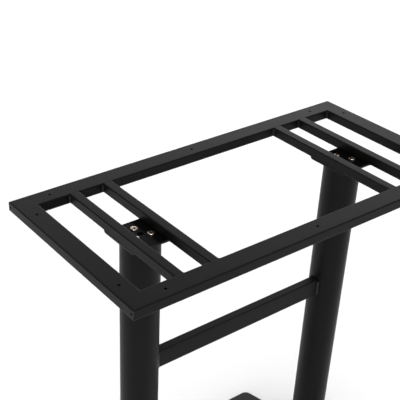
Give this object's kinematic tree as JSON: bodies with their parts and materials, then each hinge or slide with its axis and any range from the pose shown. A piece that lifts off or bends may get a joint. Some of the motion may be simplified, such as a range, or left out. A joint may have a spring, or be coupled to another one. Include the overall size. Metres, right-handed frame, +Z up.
{
  "type": "bar table base",
  "caption": "Black bar table base: a welded flat-tube top frame with screw holes, on round columns with a stretcher, standing on arched cast feet with floor pads.",
  "frame": {"origin": "on the floor, midway between the columns", "axes": "+X along the table, -Y towards the front, +Z up"},
  "size_m": [1.02, 0.658, 1.1],
  "materials": {
    "black_powder_coat": "satin black powder coat with a fine grain",
    "black_cast_foot": "satin black coat on cast iron",
    "bright_zinc": "bright zinc plate",
    "plain_steel": "plain machined steel",
    "pad_rubber": "matte black rubber"
  },
  "bodies": {
    "root": {"frame_front_rail": "black_powder_coat", "frame_back_rail": "black_powder_coat", "frame_left_rail": "black_powder_coat", "frame_right_rail": "black_powder_coat", "frame_welds": "black_powder_coat", "plate_welds": "black_powder_coat", "flush_welds": "black_powder_coat", "stretcher": "black_powder_coat", "stretcher_welds": "black_powder_coat", "left_outer_bar": "black_powder_coat", "left_inner_bar": "black_powder_coat", "right_outer_bar": "black_powder_coat", "right_inner_bar": "black_powder_coat", "left_mounting_plate": "black_powder_coat", "right_mounting_plate": "black_powder_coat", "left_plate_screws": "bright_zinc", "right_plate_screws": "bright_zinc", "left_column": "black_powder_coat", "right_column": "black_powder_coat", "left_top_disc": "plain_steel", "right_top_disc": "plain_steel", "left_bottom_disc": "plain_steel", "right_bottom_disc": "plain_steel", "left_foot": "black_cast_foot", "right_foot": "black_cast_foot", "left_foot_screws": "plain_steel", "right_foot_screws": "plain_steel", "left_front_pad": "pad_rubber", "left_back_pad": "pad_rubber", "right_front_pad": "pad_rubber", "right_back_pad": "pad_rubber"}
  },
  "joints": []
}
